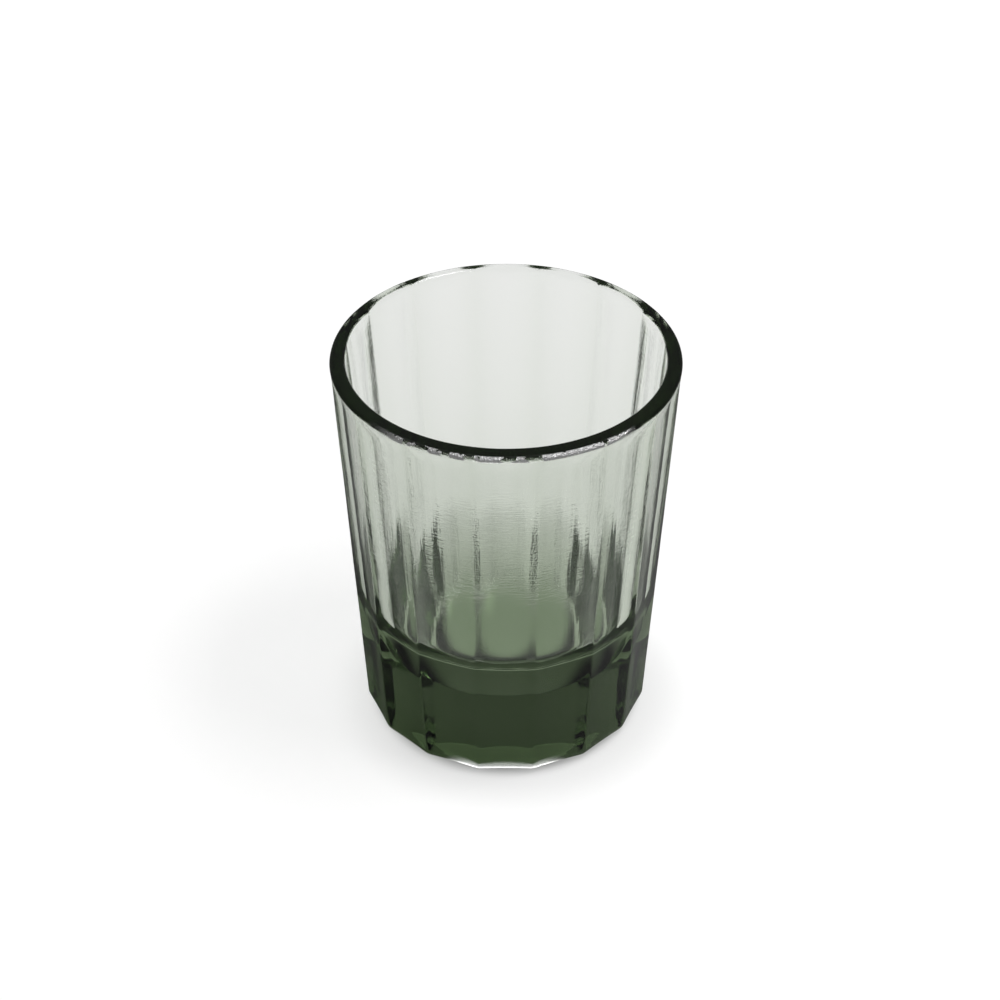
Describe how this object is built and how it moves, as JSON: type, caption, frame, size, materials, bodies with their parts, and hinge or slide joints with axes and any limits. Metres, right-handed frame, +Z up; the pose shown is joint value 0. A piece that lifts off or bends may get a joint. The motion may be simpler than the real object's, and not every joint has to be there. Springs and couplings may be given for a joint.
{
  "type": "chai glass",
  "caption": "Fluted chai glass pressed from smoky green glass, with a soft-edged lip, shallow upright flutes and a heavy solid base.",
  "frame": {"origin": "on the table, under the middle of the foot", "axes": "+Z up along the axis of the glass, -Y towards the front, where one flute faces the viewer, +X to the right"},
  "size_m": [0.0698, 0.0698, 0.085],
  "materials": {
    "green_glass": "clear smoky green pressed glass, fire-polished"
  },
  "bodies": {
    "root": {"tumbler": "green_glass"}
  },
  "joints": []
}
